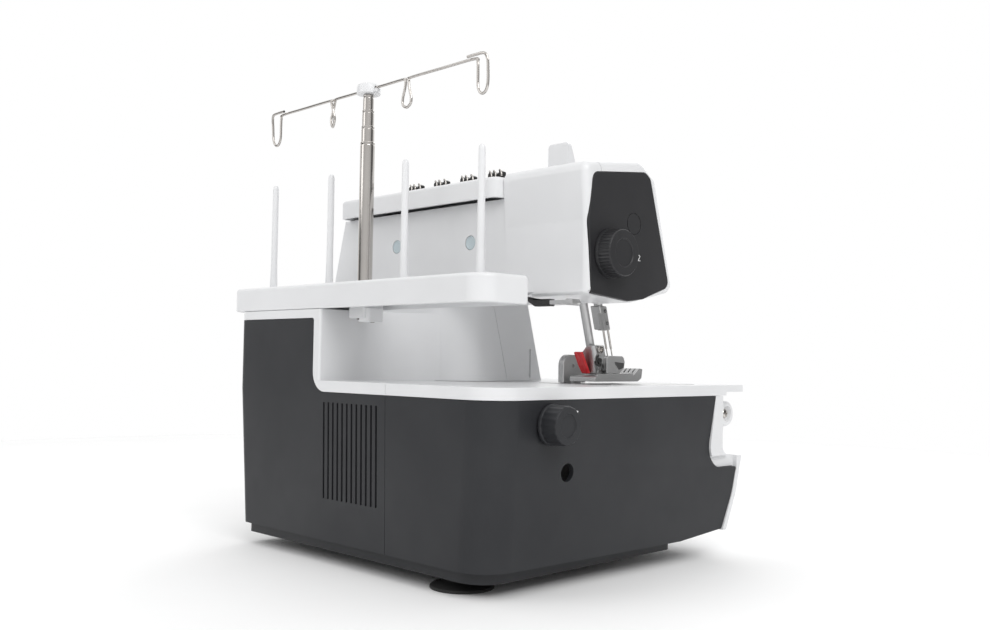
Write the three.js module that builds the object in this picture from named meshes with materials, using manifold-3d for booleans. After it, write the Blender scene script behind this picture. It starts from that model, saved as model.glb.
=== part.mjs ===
// Overlock sewing machine (serger): casings, spool stand, thread guides, stitching parts and drive.
// Millimetres. X runs from the operator's left end to the right, Y from the operator to the back,
// Z up from the surface under the feet. Work frame: X = 0 at the left end of the casing and
// Y = 0 at its back. The group is shifted at the end, to the bottom centre of the whole machine.
import * as THREE from "three";
import { mergeVertices } from "three/addons/utils/BufferGeometryUtils.js";
import Module from "manifold-3d";

const wasm = await Module();
wasm.setup();

// ---------------------------------------------------------------- driving dimensions
const ORIGIN = { x: 164.4, y: -155.05 }; // bottom centre of the whole machine, in the work frame
const GAP = 0.3; // between pieces that touch
const WALL = 2.6; // casing wall
const WIDTH = 318; // casing, end to end
const SKIRT_Z = 18.25; // lower edge of the dark covers
const BAND_Z = 133.8; // where the dark covers meet the white casing
const BED_Z = 142.8; // top of the bed
const SHOULDER_Z = 192.3; // top of the tall part of the dark cover
const TRAY_Z = 199.9; // underside of the spool tray
const SEAM_X = 112.3; // joint between the two dark covers, at the back
const SHOULDER_X = 196; // left side of the shoulder that carries the tray
const COLUMN_X = 142; // left side of the column
const COLUMN_Y = -98.5; // back of the column, arm and head
const LEAN = 0.279; // the front, the needle bar and the presser bar lean back by this slope
const HEAD = { x0: 4, x1: 88 };
const LEDGE = { x0: 88.4, x1: 294, y: -86.5, z0: 288.8, z1: 305.5 };
const TRAY = { x0: 12.3, x1: 328.3, y0: -48, z1: 220.1, radius: 17 };
const POLE = { x: 171, y: -24, radii: [5.85, 5.2, 4.75, 4.3], tops: [333, 346, 359, 371] };
const PIN = { offsets: [-132, -48, 48, 132], top: 313 };
const GUIDE = { z: 375.5, wire: 1.1 };
const PITCH = 33.3; // between neighbouring thread guides and tension dials
const FIRST_THREAD_X = 107;
const SHAFT = { y: -165, z: 85, radius: 5 };
const MOTOR = { y: -62, z: 62, radius: 27 };
const BELT_X = [286.5, 296.5];
const FEET = { back_left: [60, -31], back_right: [258, -66], front_left: [84, -190], front_right: [234, -190] };
const NEEDLE = { x: 52, y: -172.5, z: 197 }; // a point on the needle bar's axis
const PRESSER = { x: 52, y: -154, z: 197 }; // a point on the presser bar's axis
const HINGE = { y: -272, z: 24.5, radius: 1.5 }; // rod under the looper cover
const PRESSURE_DIAL = { y: -124.1, z: 241.5 };
const STITCH_DIAL = { y: -57, z: 117 };

// ---------------------------------------------------------------- finishes
const FINISHES = {
  white: { color: 0xe8e9ea, roughness: 0.35, metalness: 0 },
  charcoal: { color: 0x3a3b3f, roughness: 0.55, metalness: 0 },
  graphite: { color: 0x45464a, roughness: 0.5, metalness: 0 },
  black: { color: 0x161616, roughness: 0.6, metalness: 0 },
  rubber: { color: 0x101010, roughness: 0.85, metalness: 0 },
  steel: { color: 0xa4a5a6, roughness: 0.3, metalness: 1 },
  chrome: { color: 0xd9d3cb, roughness: 0.12, metalness: 1 },
  cast: { color: 0x8a8c8f, roughness: 0.55, metalness: 0.8 },
  red: { color: 0xc8252b, roughness: 0.4, metalness: 0 },
  blueGrey: { color: 0xa9b8be, roughness: 0.4, metalness: 0 },
};

const machine = new THREE.Group();

// ---------------------------------------------------------------- making solids
// A three.js geometry as a solid that can be joined and cut.
function solid(geometry) {
  const bare = geometry.index ? geometry.toNonIndexed() : geometry.clone();
  bare.deleteAttribute("normal");
  bare.deleteAttribute("uv");
  const merged = mergeVertices(bare, 1e-4);
  const index = merged.index.array;
  const kept = [];
  for (let i = 0; i < index.length; i += 3) {
    const [a, b, c] = [index[i], index[i + 1], index[i + 2]];
    if (a !== b && b !== c && c !== a) kept.push(a, b, c);
  }
  return new wasm.Manifold(new wasm.Mesh({
    numProp: 3,
    vertProperties: merged.attributes.position.array,
    triVerts: new Uint32Array(kept),
  }));
}

function geometryOf(made) {
  const mesh = made.getMesh();
  const geometry = new THREE.BufferGeometry();
  geometry.setAttribute("position", new THREE.BufferAttribute(mesh.vertProperties, 3));
  geometry.setIndex(new THREE.BufferAttribute(mesh.triVerts, 1));
  geometry.computeVertexNormals();
  return geometry;
}

function place(name, made, finish) {
  const material = new THREE.MeshStandardMaterial(FINISHES[finish]);
  const mesh = new THREE.Mesh(geometryOf(made), material);
  mesh.name = name;
  machine.add(mesh);
}

const join = (...parts) => parts.reduce((all, part) => all.add(part));
const cut = (body, ...tools) => tools.reduce((left, tool) => left.subtract(tool), body);

// Corners [a, b, radius] as a path, with an arc at each corner that has a radius.
function path(corners, steps = 4) {
  const points = [];
  corners.forEach(([a, b, radius = 0], i) => {
    const corner = new THREE.Vector2(a, b);
    if (radius <= 0) {
      points.push(corner);
      return;
    }
    const towards = (to) => new THREE.Vector2(to[0], to[1]).sub(corner).normalize();
    const before = towards(corners.at(i - 1));
    const after = towards(corners[(i + 1) % corners.length]);
    const half = Math.acos(THREE.MathUtils.clamp(before.dot(after), -1, 1)) / 2;
    const middle = before.clone().add(after).normalize();
    const centre = corner.clone().addScaledVector(middle, radius / Math.sin(half));
    const start = corner.clone().addScaledVector(before, radius / Math.tan(half)).sub(centre);
    const turn = Math.PI - 2 * half;
    const side = Math.sign(before.cross(after)) || 1;
    for (let k = 0; k <= steps; k++) {
      const angle = (-side * turn * k) / steps;
      points.push(start.clone().rotateAround(new THREE.Vector2(), angle).add(centre));
    }
  });
  return points;
}

// The same corners moved inwards by a distance.
function inset(corners, by) {
  const area = THREE.ShapeUtils.area(corners.map(([a, b]) => new THREE.Vector2(a, b)));
  const turn = Math.sign(area);
  return corners.map(([a, b, radius = 0], i) => {
    const [pa, pb] = corners.at(i - 1);
    const [na, nb] = corners[(i + 1) % corners.length];
    const first = new THREE.Vector2(a - pa, b - pb).normalize();
    const second = new THREE.Vector2(na - a, nb - b).normalize();
    const bend = first.cross(second);
    const normals = [first, second].map((d) => new THREE.Vector2(-d.y, d.x).multiplyScalar(turn));
    const sum = normals[0].clone().add(normals[1]);
    const shift = sum.multiplyScalar((2 * by) / sum.lengthSq());
    const inner = radius && Math.max(bend * turn > 0 ? radius - by : radius + by, 0.5);
    return [a + shift.x, b + shift.y, inner];
  });
}

// An outline drawn across one axis (YZ for x, XZ for y, XY for z), pushed from one place to another.
function prism(axis, corners, from, to, steps = 4) {
  const shape = new THREE.Shape(path(corners, steps));
  const geometry = new THREE.ExtrudeGeometry(shape, { depth: to - from, bevelEnabled: false });
  const v = (x, y, z) => new THREE.Vector3(x, y, z);
  if (axis === "x") geometry.applyMatrix4(new THREE.Matrix4().makeBasis(v(0, 1, 0), v(0, 0, 1), v(1, 0, 0)));
  if (axis === "y") geometry.applyMatrix4(new THREE.Matrix4().makeBasis(v(1, 0, 0), v(0, 0, 1), v(0, -1, 0)));
  const along = { x: v(from, 0, 0), y: v(0, to, 0), z: v(0, 0, from) }[axis];
  geometry.translate(along.x, along.y, along.z);
  return solid(geometry);
}

const box = (x0, x1, y0, y1, z0, z1) => prism("z", [[x0, y0], [x1, y0], [x1, y1], [x0, y1]], z0, z1);

function circle(a, b, radius, sides = 16) {
  return Array.from({ length: sides }, (_, i) => {
    const angle = (2 * Math.PI * (i + 0.5)) / sides;
    return [a + radius * Math.cos(angle), b + radius * Math.sin(angle)];
  });
}

const disc = (axis, a, b, radius, from, to, sides) => prism(axis, circle(a, b, radius, sides), from, to);

// A turned piece: [radius, height] pairs from the axis out and back to it, standing on +Z.
function turned(profile, sides = 14) {
  const geometry = new THREE.LatheGeometry(profile.map(([r, h]) => new THREE.Vector2(r, h)), sides);
  return solid(geometry.rotateX(Math.PI / 2));
}

// A bar with its axis on the lean, from one height to another.
function leaningBar(at, corners, z0, z1) {
  const bar = prism("z", corners, 0, 1);
  const matrix = new THREE.Matrix4().set(
    1, 0, 0, at.x,
    0, 1, LEAN * (z1 - z0), at.y + LEAN * (z0 - at.z),
    0, 0, z1 - z0, z0,
    0, 0, 0, 1,
  );
  return bar.transform(matrix.elements);
}

// A wire or cord of even section along points.
function wire(points, radius, steps, sides = 6, closed = false) {
  const curve = new THREE.CatmullRomCurve3(points, closed, "centripetal");
  const shape = new THREE.Shape(path(circle(0, 0, radius, sides)));
  return solid(new THREE.ExtrudeGeometry(shape, { steps, extrudePath: curve, bevelEnabled: false }));
}

// ---------------------------------------------------------------- outlines of the casing
// Inner and outer edges of the front, seen from the left end: [y, z, radius].
const SIDE_FRONT = [
  [-262, BAND_Z], [-250.8, 73.8, 18], [-294.2, 73.5, 1.5], [-288, 52.3, 60], [-273.3, 22.9, 2], [-216, SKIRT_Z],
];
const COVER_SECTION = [
  [-262.4, 133.7], [-251.2, 74.2, 18], [-294.6, 73.9, 1.5], [-288.4, 52.3, 60], [-273.9, 23], [-273.9, 21.6],
  [-278.4, 21.4, 1], [-293.6, 52, 60], [-299.2, 72.4], [-302.6, 82.4, 1.2], [-272.6, 84.8, 9], [-273.3, 133.7],
];
const COVER_HOLLOW = [
  [-230, 140], [-230, 15], [-275.6, 15], [-275.6, 23], [-291, 52, 60], [-296.6, 72.8], [-299, 80], [-270, 82.4, 9],
  [-270.7, 140],
];
const HEAD_PROFILE = [
  [-98.5, 210.2, 3], [-97.8, 264.9, 40], [-94.5, 308, 8], [-162.4, 317.5, 10], [-181.5, 306, 10],
  [-205.5, 222, 6], [-200.5, 216.5, 6], [-153.3, 206.3, 30],
];
const ARM_PROFILE = [
  [COLUMN_Y, 209.9], [COLUMN_Y, 288.5], [-168, 288.5], [-168, LEDGE.z1], [-181.5, 304, 6],
  [-204.7, 224, 6], [-199, 217, 6], [-184, 209.9],
];
const FACE_PROFILE = [
  [-102, 210.4, 2], [-98.6, 264.9, 40], [-103.1, 301.3, 8], [-167.1, 309.5, 8], [-174.3, 305.9, 8],
  [-200.2, 221, 7], [-165.5, 208.8, 8], [-145.7, 206.4, 8],
];
const RIGHT_END = [
  [-10, 130], [WIDTH, 130], [WIDTH, 205, 30], [313.9, 235, 60], [298.8, 292, 12], [293, 340], [-10, 340],
];
const BODY_PLAN = [
  [0, 0, 27], [0, -300], [WIDTH, -300], [WIDTH, 0, 10],
];
const SKIRT_PLAN = [
  [9.7, -2.5, 27], [0.4, -300], [WIDTH - 0.4, -300], [WIDTH - 7, -2.5, 10],
];
const TALL_BACK = [
  [-10, 0], [340, 0], [340, SHOULDER_Z], [204.9, SHOULDER_Z, 2], [204.9, BAND_Z, 16], [-10, BAND_Z],
];

// Everything inside the body's walls from the skirt up, drawn in towards the bottom.
function bodyCore(by) {
  const levels = [[SKIRT_Z, SKIRT_PLAN], [BAND_Z, BODY_PLAN], [SHOULDER_Z + 1, BODY_PLAN]];
  const rings = levels.map(([z, plan]) => path(inset(plan, by), 5).map((p) => [p.x, p.y, z]));
  return loft(rings);
}

// A closed solid through rings of the same count of points, one above the other.
function loft(rings) {
  const count = rings[0].length;
  const positions = [];
  const triangle = (a, b, c) => positions.push(...a, ...b, ...c);
  for (let level = 0; level + 1 < rings.length; level++) {
    const [low, high] = [rings[level], rings[level + 1]];
    for (let i = 0; i < count; i++) {
      const j = (i + 1) % count;
      triangle(low[i], low[j], high[j]);
      triangle(low[i], high[j], high[i]);
    }
  }
  for (const [ring, flip] of [[rings[0], true], [rings.at(-1), false]]) {
    const flat = ring.map(([x, y]) => new THREE.Vector2(x, y));
    for (const [a, b, c] of THREE.ShapeUtils.triangulateShape(flat, [])) {
      if (flip) triangle(ring[a], ring[c], ring[b]);
      else triangle(ring[a], ring[b], ring[c]);
    }
  }
  const geometry = new THREE.BufferGeometry();
  geometry.setAttribute("position", new THREE.Float32BufferAttribute(positions, 3));
  return solid(geometry);
}
const FLOOR_PLAN = [[SEAM_X + GAP / 2, 0], [SEAM_X + GAP / 2, COLUMN_Y], [WIDTH, COLUMN_Y], [WIDTH, 0, 10]];
const COLUMN_PLAN = [
  [COLUMN_X, -112, 30], [COLUMN_X, -204], [WIDTH, -204], [WIDTH, COLUMN_Y], [169, COLUMN_Y, 30],
];
const RECESS_PLAN = [
  [COLUMN_X, -112, 48], [COLUMN_X, -204], [WIDTH, -204], [WIDTH, 0, 10], [SHOULDER_X, 0, 2], [SHOULDER_X, -85, 48],
];

// Behind a plane that leans back, through (y, z).
function behind(y, z) {
  const at = (height) => y + LEAN * (height - z);
  return prism("x", [[at(0), 0], [20, 0], [20, 500], [at(500), 500]], -20, 400);
}

// The outer form of the white casings, or the hollow inside them when moved in by the wall.
function upperForm(by) {
  const low = by ? BAND_Z - 5 : BAND_Z + GAP;
  const head = prism("x", inset(HEAD_PROFILE, by), by ? 7 : HEAD.x0, HEAD.x1 - by);
  const arm = prism("x", inset(ARM_PROFILE, by), HEAD.x1 - 28, WIDTH - by);
  const column = prism("z", inset(COLUMN_PLAN, by), low, 218);
  const recess = prism("z", inset(RECESS_PLAN, by), low, TRAY_Z - GAP - by);
  const floor = prism("z", inset(FLOOR_PLAN, by), low, BED_Z - by);
  const legs = join(column, recess, floor).intersect(behind(-183.5 + by, 205));
  const rightEnd = prism("y", inset(RIGHT_END, by), -320, 20);
  return join(head, arm, legs).intersect(rightEnd);
}

// ---------------------------------------------------------------- base and feet
const LUG = [[-217, 9.5], [-205, 9.5], [-205, 17.9], [-268, 28], [-274.8, 27.5, 2], [-274.8, 21.6, 2], [-268, 20.4]];

function addBase() {
  const plan = [[17, -9, 22], [17, -225, 8], [311, -225, 8], [311, -9, 8]];
  const tray = cut(prism("z", plan, 9.5, SKIRT_Z - GAP), prism("z", inset(plan, 3), 12.5, 20));
  const lugs = [42, 272].map((x) => cut(
    prism("x", LUG, x, x + 4),
    disc("x", HINGE.y, HINGE.z, HINGE.radius + GAP, x - 1, x + 5, 12),
  ));
  place("base_plate", join(tray, ...lugs), "charcoal");
  const foot = turned([
    [0, 9.2], [0, 4], [12, 2.4], [19.5, 0], [23, 0], [23, 1.6], [13, 4.2], [10, 9.2],
    [0, 9.2],
  ]);
  for (const [name, [x, y]] of Object.entries(FEET)) place("foot_" + name, foot.translate([x, y, 0]), "rubber");
}

// ---------------------------------------------------------------- dark covers
// The skin of both dark covers before they are parted, or the room it needs when grown by a gap.
function darkSkin(grow) {
  const profile = [
    ...SIDE_FRONT, [10, SKIRT_Z], [10, SHOULDER_Z], [COLUMN_Y + 2, SHOULDER_Z, 2], [COLUMN_Y + 2, BAND_Z, 16],
  ];
  return cut(bodyCore(-grow), bodyCore(WALL + grow))
    .intersect(prism("x", inset(profile, -grow), -10, 340))
    .intersect(prism("y", inset(TALL_BACK, -grow), -320, 10));
}

function addDarkCovers() {
  const skin = darkSkin(0);
  const half = (x0, x1) => skin.intersect(box(x0, x1, -320, 10, 0, 200));

  const slots = [];
  const [count, pitch, width, firstX] = [12, 6, 2.6, 121.5];
  for (let i = 0; i < count; i++) {
    for (const [z0, z1] of [[51, 75], [77, 100], [102, 126]]) {
      slots.push(box(firstX + i * pitch, firstX + i * pitch + width, -12, 5, z0, z1));
    }
  }
  const inlet = box(300, 330, -66.3, -33.7, 34.7, 96.3);
  const shaftHole = disc("x", SHAFT.y, SHAFT.z, 9, 300, 330, 16);
  place("right_cover", cut(half(SEAM_X + GAP / 2, 340), inlet, shaftHole, ...slots), "charcoal");

  const boss = disc("x", STITCH_DIAL.y, STITCH_DIAL.z, 13, 0.2, 4.5, 20);
  const stem = disc("x", STITCH_DIAL.y, STITCH_DIAL.z, 5.4, -5, 12, 16);
  const hole = disc("x", -77.6, 82.5, 6.6, -5, 12, 16);
  place("left_cover", cut(join(half(-10, SEAM_X - GAP / 2), boss), stem, hole), "charcoal");
}

// ---------------------------------------------------------------- white casings
const DIALS = [0, 1, 2, 3].map((i) => ({ x: FIRST_THREAD_X + i * PITCH, y: -192.6, z: 266 }));
const facing = new THREE.Vector3(0, -1, LEAN).normalize(); // out of the leaning front

// A turned piece standing on the leaning front, its +Z pointing out of it.
function onFront(made, at) {
  const turn = new THREE.Quaternion().setFromUnitVectors(new THREE.Vector3(0, 0, 1), facing);
  const matrix = new THREE.Matrix4().compose(new THREE.Vector3(at.x, at.y, at.z), turn, new THREE.Vector3(1, 1, 1));
  return made.transform(matrix.elements);
}

function addCasings() {
  const shell = cut(upperForm(0), upperForm(WALL), box(-10, 340, -330, COLUMN_Y, 120, BED_Z + GAP));
  const face = prism("x", inset(FACE_PROFILE, -GAP), -5, 7.3);
  const seam = { y: -141.5, z: 202 };
  const darkRoom = darkSkin(GAP);
  const plugs = PLUGS.map(({ x, z }) => disc("y", x, z, 7.2, -110, -90, 16));
  place("rear_casing", cut(shell.intersect(behind(seam.y + GAP, seam.z)), face, darkRoom, ...plugs), "white");

  const barOpening = leaningBar({ x: 52, y: -164, z: 206 }, [[-12, -20], [12, -20], [12, 18], [-12, 18]], 196, 224);
  const dialHoles = DIALS.map((at) => onFront(turned([[0, -12], [4, -12], [4, 12], [0, 12], [0, -12]], 10), at));
  place("front_casing", cut(shell, behind(seam.y, seam.z), face, barOpening, ...dialHoles), "white");

  const bedPlan = [[0, 0, 27], [0, -278.3], [WIDTH, -278.3], [WIDTH, 0, 10]];
  const lipPlan = [[0, -270], [0, -307.6, 5], [WIDTH, -307.6, 5], [WIDTH, -270]];
  const bed = join(prism("z", bedPlan, BAND_Z + GAP, BED_Z), prism("z", lipPlan, 137, BED_Z));
  const under = prism("z", inset(bedPlan, WALL), 130, BED_Z - WALL);
  const backPart = box(SEAM_X - GAP / 2, 340, COLUMN_Y - GAP, 10, 120, 150);
  const neck = box(150, 300, -192, -90, 130, 150);
  place("bed_casing", cut(bed, under, backPart, neck, plateForm(GAP), darkRoom), "white");

  const ledgePlan = [[LEDGE.x0, LEDGE.y, 8], [LEDGE.x0, -167.7], [LEDGE.x1, -167.7, 8], [LEDGE.x1, LEDGE.y, 8]];
  const ledge = prism("z", ledgePlan, LEDGE.z0, LEDGE.z1);
  place("top_cover", cut(ledge, prism("z", inset(ledgePlan, WALL), LEDGE.z0 - 2, LEDGE.z1 - WALL)), "white");

  const dialStem = disc("x", PRESSURE_DIAL.y, PRESSURE_DIAL.z, 4.4, 0, 10, 14);
  const badge = disc("x", -153, 267, 8.5, 3, 5, 16);
  place("face_cover", cut(join(prism("x", FACE_PROFILE, 3.7, 7), badge), dialStem), "graphite");

  const fin = prism("x", [[-143, 300], [-143, 338, 1], [-145.5, 338, 1], [-160, 300]], 62.5, 84.4)
    .intersect(prism("y", [[62.5, 290], [84.4, 290], [84.4, 338, 4], [62.5, 338, 4]], -170, -130));
  place("take_up_cover", cut(fin, prism("x", inset(HEAD_PROFILE, -GAP), 0, 200)), "white");

  PLUGS.forEach(({ x, z }, i) => place("plug_" + (i + 1), disc("y", x, z, 6.8, -102, -98.2, 16), "blueGrey"));
}
const PLUGS = [{ x: 223.2, z: 259.6 }, { x: 128.8, z: 256.4 }];

// ---------------------------------------------------------------- spool stand
function addSpoolStand() {
  const plan = [[TRAY.x0, 0, TRAY.radius], [TRAY.x0, TRAY.y0, 6], [TRAY.x1, TRAY.y0, 6], [TRAY.x1, 0, 6]];
  const pocket = prism("z", inset(plan, WALL), TRAY_Z - 2, TRAY.z1 - WALL);
  const pinX = PIN.offsets.map((offset) => POLE.x + offset);
  const holes = pinX.map((x) => disc("z", x, POLE.y, 3.7, 200, 230, 12));
  const poleHole = disc("z", POLE.x, POLE.y, POLE.radii[0] + 0.4, 180, 230, 16);
  place("spool_tray", cut(prism("z", plan, TRAY_Z, TRAY.z1), pocket, poleHole, ...holes), "white");

  const socket = box(POLE.x - 15, POLE.x + 15, POLE.y - 14, POLE.y + 8, 188.2, TRAY.z1 - WALL - GAP);
  place("pole_bracket", cut(socket, disc("z", POLE.x, POLE.y, POLE.radii[0] + 0.4, 191, 230, 16)), "white");

  const pin = turned(
    [[0, 209], [3.3, 209], [3.3, 222], [2.7, PIN.top - 1.5], [1.9, PIN.top], [0, PIN.top], [0, 209]], 12);
  pinX.forEach((x, i) => place("spool_pin_" + (i + 1), pin.translate([x, POLE.y, 0]), "white"));

  const bores = [5.45, 4.95, 4.5, 3.4];
  const bottoms = [191.3, 215, 216, 217];
  POLE.radii.forEach((radius, i) => {
    const tube = disc("z", POLE.x, POLE.y, radius, bottoms[i], POLE.tops[i], 14);
    const bore = disc("z", POLE.x, POLE.y, bores[i], 100, 400, 14);
    place("pole_section_" + (i + 1), cut(tube, bore), "chrome");
  });

  const top = POLE.tops.at(-1) + GAP;
  const hub = turned(
    [[0, 355], [3, 355], [3, top], [9.5, top], [9.5, top + 7], [8, top + 8.3], [0, top + 8.3], [0, 355]], 16);
  const channel = disc("x", 0, GUIDE.z, GUIDE.wire + 0.45, -20, 20, 10);
  place("guide_hub", cut(hub, channel).translate([POLE.x, POLE.y, 0]), "white");
  place("guide_wire", wire(guideRoute(), GUIDE.wire, 132, 5), "steel");
}

// The bent wire above the spools: an eye over each pin, the outer two closed ovals.
function guideRoute() {
  const at = (x, y, drop) => new THREE.Vector3(POLE.x + x, POLE.y + y, GUIDE.z - drop);
  const end = (s) => [
    at(s * 118, 2.6, -1.6), at(s * 127, 2.6, -1.6), at(s * 135, 2.4, -1), at(s * 137.5, 1.6, 3), at(s * 137.6, 1, 10),
    at(s * 137.2, 0.6, 20), at(s * 135, 0.2, 25), at(s * 131.8, 0, 26.6), at(s * 128.6, 0, 25), at(s * 126.6, 0, 20),
    at(s * 126.4, 0, 10), at(s * 126, 0, 3), at(s * 123, 0, 0.2),
  ];
  const tear = [
    at(-52, 0, 0), at(-50, 0, 1.5), at(-50.5, 0, 7), at(-53, 0, 15), at(-52.4, 0, 20), at(-48, 0, 22.4),
    at(-43.6, 0, 20), at(-43, 0, 15), at(-45.5, 0, 7), at(-46, 0, 1.5), at(-44, 0, 0),
  ];
  const twist = [
    at(44, 0, 0), at(46.6, -1, 1.4), at(49, -1.6, 6), at(50.6, -1.6, 10), at(51.6, -0.8, 17), at(48, 0, 22.6),
    at(44.4, 0.8, 17), at(45.4, 1.6, 10), at(47, 1.6, 6), at(49.4, 1, 1.4), at(52, 0, 0),
  ];
  return [...end(-1), at(-90, 0, 0), ...tear, at(-20, 0, 0), at(20, 0, 0), ...twist, at(90, 0, 0), ...end(1).reverse()];
}

// ---------------------------------------------------------------- thread guides on the top cover
function addThreadClips() {
  const comb = [
    [-9, 0], [9, 0], [9, 2], [7.5, 2], [7.5, 8.5], [4.5, 8.5], [4.5, 6.5], [6, 6.5], [6, 2], [1.5, 2], [1.5, 9],
    [-1.5, 9], [-1.5, 7], [0, 7], [0, 2], [-4.5, 2], [-4.5, 8.5], [-7.5, 8.5], [-7.5, 6.5], [-6, 6.5], [-6, 2], [-9, 2],
  ];
  const sole = box(-9, 9, -5, 5, 0, 1);
  const clip = join(sole, prism("y", comb, -0.6, 0.6));
  for (let i = 0; i < 4; i++) {
    place("thread_clip_" + (i + 1), clip.translate([FIRST_THREAD_X + i * PITCH, -106, LEDGE.z1 + GAP]), "steel");
  }
}

// ---------------------------------------------------------------- needle plate, needles and foot
function plateForm(grow) {
  const plan = [[20, -148, 3], [20, -262, 3], [98, -262, 3], [98, -148, 3]];
  return prism("z", inset(plan, -grow), grow ? 130 : 140.6, grow ? 150 : 143.1);
}

function addStitchArea() {
  const slots = [[46, 58, -197, -181], [37, 44, -209, -166], [60, 67, -209, -166], [71.4, 78.6, -177, -153]];
  place("needle_plate", cut(plateForm(0), ...slots.map(([x0, x1, y0, y1]) => box(x0, x1, y0, y1, 130, 150))), "steel");
  const blades = [37.6, 60.6].map((x) => box(x, x + 5.8, -205, -170, 134, 142.9));
  place("feed_dog", join(box(37.6, 66.4, -178, -170, 130, 134.5), ...blades), "steel");

  const round = (radius, sides) => path(circle(0, 0, radius, sides)).map((p) => [p.x, p.y]);
  const needleBar = leaningBar(NEEDLE, round(3.6, 12), 186, 290);
  const clamp = leaningBar(NEEDLE, [[-7, -6], [7, -6], [7, 5], [-7, 5]], 187, 206);
  const needleAt = (x) => ({ x: NEEDLE.x + x, y: NEEDLE.y - 4.2, z: NEEDLE.z });
  const needleHoles = [-2.4, 2.4].map((x) => leaningBar(needleAt(x), round(1.2, 8), 180, 200));
  place("needle_bar", cut(join(needleBar, clamp), ...needleHoles), "steel");
  for (const [name, x] of [["left", -2.4], ["right", 2.4]]) {
    const shank = leaningBar(needleAt(x), round(0.9, 6), 172, 199);
    place("needle_" + name, join(shank, leaningBar(needleAt(x), round(0.5, 6), 157, 173)), "chrome");
  }

  place("presser_bar", leaningBar(PRESSER, round(3.5, 12), 168.5, 294), "steel");
  const ankle = leaningBar(PRESSER, [[-8, -9], [8, -9], [8, 6], [-8, 6]], 150, 174);
  const ankleBore = leaningBar(PRESSER, round(3.9, 12), 168.2, 180);
  const sole = prism("x", [
    [-152, 145.2], [-152, 149.5, 2], [-190, 150.5], [-201, 150.5], [-208, 155.9], [-212.4, 155.4], [-211, 147.8],
    [-206, 145.2, 3],
  ], 39, 66);
  const needleSlot = box(45, 59, -196, -180, 140, 160);
  const hinge = box(45.5, 59.5, -176, -163, 148, 158);
  place("presser_foot", cut(join(sole, hinge, ankle), ankleBore, needleSlot), "steel");
  const lever = prism("x", [
    [-147.8, 168.4], [-150.4, 168.8], [-156.2, 158.5, 8], [-160.2, 151.9], [-158.4, 151.3], [-153.6, 157.6, 8],
  ], 51, 59);
  place("foot_release_lever", lever, "red");

  const knife = prism("x", [[-151, 143.6], [-179, 143.6], [-179, 158, 3], [-171, 166.5, 6], [-151, 166.5, 9]], 72, 78);
  place("upper_knife", join(knife, box(72, 78, -176, -154, 118, 145)), "steel");

  const strip = prism("x", [[-97, 203], [-91.5, 203], [-91.5, 206], [-97, 206]], 12, 48);
  const handle = prism("y", [[34, 201.6], [50, 201.6, 4], [61, 208], [58.5, 210], [48, 206.5], [34, 206.5]], -97, -91.5);
  const pivotPin = disc("y", 17, 204.5, 2.4, -104, -91.5, 10);
  place("presser_lifter", join(strip, handle, pivotPin), "black");
}

// ---------------------------------------------------------------- drive
function addDrive() {
  const shaft = disc("x", SHAFT.y, SHAFT.z, SHAFT.radius, 62, 318.3, 14);
  const pulley = disc("x", SHAFT.y, SHAFT.z, 30, BELT_X[0] - 1, BELT_X[1] + 1, 28);
  place("main_shaft", join(shaft, pulley), "steel");
  const rim = turned([[0, 0], [30, 0], [36, 3], [36, 20], [33, 24], [12, 26], [0, 26], [0, 0]], 24);
  const grip = rim.rotate([0, 90, 0]).translate([WIDTH + 0.8, SHAFT.y, SHAFT.z]);
  place("handwheel", grip, "charcoal");

  place("motor", disc("x", MOTOR.y, MOTOR.z, MOTOR.radius, 210, 274, 20), "steel");
  const spindle = disc("x", MOTOR.y, MOTOR.z, 3, 274.4, 299, 10);
  place("motor_pulley", join(spindle, disc("x", MOTOR.y, MOTOR.z, 8, BELT_X[0] - 1, BELT_X[1] + 1, 16)), "steel");
  place("drive_belt", cut(beltForm(32.6, 10.6), beltForm(30.6, 8.6)), "rubber");
}

// The space inside a belt that runs round the shaft pulley and the motor pulley.
function beltForm(shaftRadius, motorRadius) {
  const points = [[SHAFT, shaftRadius], [MOTOR, motorRadius]].flatMap(([wheel, radius]) =>
    circle(wheel.y, wheel.z, radius, 28).map(([y, z]) => new THREE.Vector2(y, z)));
  return prism("x", hull(points), BELT_X[0], BELT_X[1]);
}

// Convex outline of points, as corners.
function hull(points) {
  const sorted = [...points].sort((p, q) => p.x - q.x || p.y - q.y);
  const half = (list) => {
    const chain = [];
    for (const p of list) {
      while (chain.length > 1) {
        const [a, b] = chain.slice(-2);
        if (b.clone().sub(a).cross(p.clone().sub(a)) > 0) break;
        chain.pop();
      }
      chain.push(p);
    }
    return chain.slice(0, -1);
  };
  return [...half(sorted), ...half(sorted.reverse())].map((p) => [p.x, p.y]);
}

// ---------------------------------------------------------------- frame and loopers
function addFrame() {
  const plate = (x0, x1, y0, y1, z0, z1) => box(x0, x1, y0, y1, z0, z1);
  const body = join(
    plate(60, 280, -150, -112, 12.9, 24),
    plate(236, 248, -150, -34, 12.9, 34.6),
    plate(50, 120, -203, -130, 12.9, 24),
    plate(196, 204, -180, -112, 20, 130),
    plate(196, 204, -172, -112, 125, 262),
    plate(20, 204, -125, -104, 240, 270),
    plate(42, 62, -170, -105, 252, 262),
    plate(84, 92, -180, -148, 20, 110),
    plate(50, 120, -203, -197, 20, 84),
    ...LOOPERS.map(({ x, z, front }) => disc("y", x, z, 3, front + 0.5, -198, 12)),
  );
  const round = circle(0, 0, 3.9, 12);
  const bores = [leaningBar(NEEDLE, round, 240, 280), leaningBar(PRESSER, round, 240, 280)];
  place("main_frame", cut(body, ...bores, disc("x", SHAFT.y, SHAFT.z, SHAFT.radius + GAP, 50, 210, 14)), "cast");
}
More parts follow.
